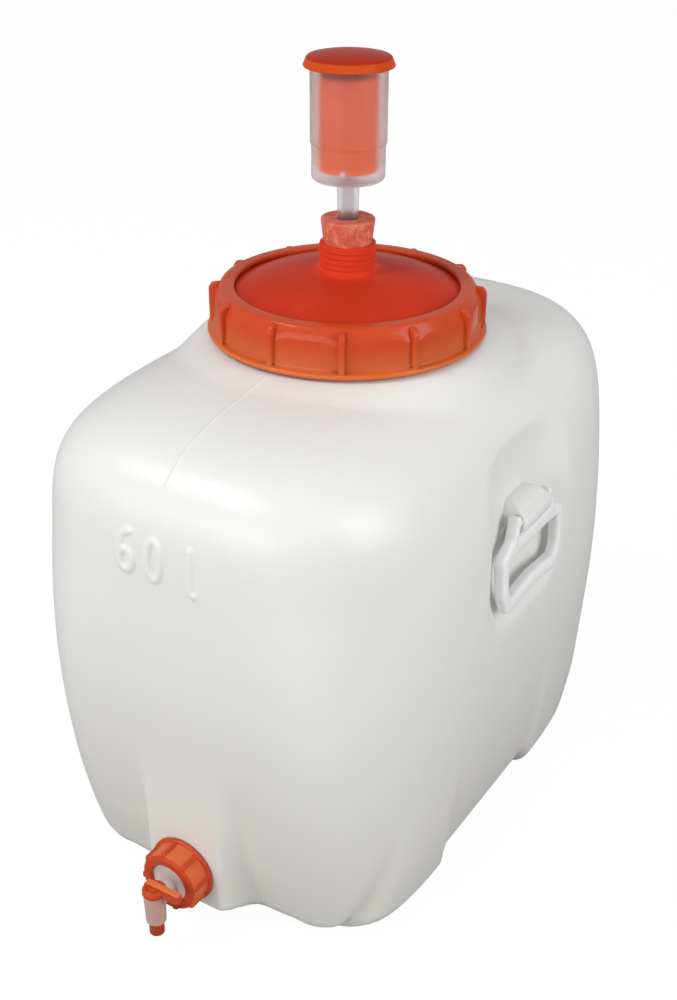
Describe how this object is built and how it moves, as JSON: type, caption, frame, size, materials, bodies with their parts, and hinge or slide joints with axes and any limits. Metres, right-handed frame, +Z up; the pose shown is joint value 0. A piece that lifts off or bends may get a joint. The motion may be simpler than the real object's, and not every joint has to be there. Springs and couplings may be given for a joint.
{
  "type": "fermentation tank with airlock",
  "caption": "Milky moulded fermentation tank with a ribbed orange screw lid, a bung with a water-seal airlock, swinging side handles and a wing-lever drain tap.",
  "frame": {"origin": "floor level under the middle of the outer box, tap and handles included; the tank's own axis stands 18.25 mm behind it", "axes": "+Z up along the tank, -Y towards the drain tap at the front, +X towards the right-hand handle"},
  "size_m": [0.3536, 0.5394, 0.6449],
  "materials": {
    "tank": "milky natural plastic, satin",
    "neck": "milky natural plastic, satin",
    "stub": "milky natural plastic, satin",
    "lug_right": "milky natural plastic, satin",
    "lug_left": "milky natural plastic, satin",
    "handle_right": "white moulded plastic, satin",
    "handle_left": "white moulded plastic, satin",
    "lid_plate": "glossy red-orange plastic",
    "lid_seal": "pale soft seal",
    "lid_ring": "glossy orange plastic",
    "bung": "mottled salmon rubber",
    "airlock_cup": "clear milky plastic",
    "airlock_bell": "orange plastic",
    "airlock_cap": "orange plastic",
    "tap_nut": "orange plastic",
    "tap_seal": "black rubber",
    "tap_body": "milky clear plastic",
    "tap_plug": "orange plastic",
    "tap_o_ring_upper": "black rubber",
    "tap_o_ring_lower": "black rubber"
  },
  "bodies": {
    "tank": {"tank": "tank", "neck": "neck", "stub": "stub", "lug_right": "lug_right", "lug_left": "lug_left"},
    "handle_right": {"handle_right": "handle_right"},
    "handle_left": {"handle_left": "handle_left"},
    "lid": {"lid_plate": "lid_plate", "lid_seal": "lid_seal"},
    "ring": {"lid_ring": "lid_ring"},
    "bung": {"bung": "bung"},
    "airlock": {"airlock_cup": "airlock_cup"},
    "bell": {"airlock_bell": "airlock_bell"},
    "cap": {"airlock_cap": "airlock_cap"},
    "tap": {"tap_body": "tap_body", "tap_seal": "tap_seal"},
    "nut": {"tap_nut": "tap_nut"},
    "plug": {"tap_plug": "tap_plug", "tap_o_ring_upper": "tap_o_ring_upper", "tap_o_ring_lower": "tap_o_ring_lower"}
  },
  "joints": [
    {"name": "ring_turn", "type": "hinge", "parent": "lid", "child": "ring", "pos_m": [0, 0.01825, 0.46], "axis": [0, 0, 1], "range_deg": [0, 1080]},
    {"name": "lid_lift", "type": "slide", "parent": "tank", "child": "lid", "axis": [0, 0, 1], "range_m": [0, 0.03]},
    {"name": "bung_pull", "type": "slide", "parent": "lid", "child": "bung", "axis": [0, 0, 1], "range_m": [0, 0.03]},
    {"name": "airlock_pull", "type": "slide", "parent": "bung", "child": "airlock", "axis": [0, 0, 1], "range_m": [0, 0.05]},
    {"name": "bell_float", "type": "slide", "parent": "airlock", "child": "bell", "axis": [0, 0, 1], "range_m": [0, 0.006]},
    {"name": "cap_pull", "type": "slide", "parent": "airlock", "child": "cap", "axis": [0, 0, 1], "range_m": [0, 0.03]},
    {"name": "handle_right_swing", "type": "hinge", "parent": "tank", "child": "handle_right", "pos_m": [0.168, 0.01825, 0.318], "axis": [0, -1, 0], "range_deg": [0, 95]},
    {"name": "handle_left_swing", "type": "hinge", "parent": "tank", "child": "handle_left", "pos_m": [-0.168, 0.01825, 0.318], "axis": [0, 1, 0], "range_deg": [0, 95]},
    {"name": "nut_turn", "type": "hinge", "parent": "tap", "child": "nut", "pos_m": [0, -0.23, 0.0565], "axis": [0, -1, 0], "range_deg": [0, 1440]},
    {"name": "tap_draw", "type": "slide", "parent": "tank", "child": "tap", "axis": [0, -1, 0], "range_m": [0, 0.016]},
    {"name": "plug_turn", "type": "hinge", "parent": "tap", "child": "plug", "pos_m": [0, -0.26025, 0.05], "axis": [0, 0, -1], "range_deg": [0, 90]}
  ],
  "couplings": [
    {"joint": "lid_lift", "follows": "ring_turn", "m_per_rad": 0.0015915},
    {"joint": "tap_draw", "follows": "nut_turn", "m_per_rad": 0.00063662}
  ]
}
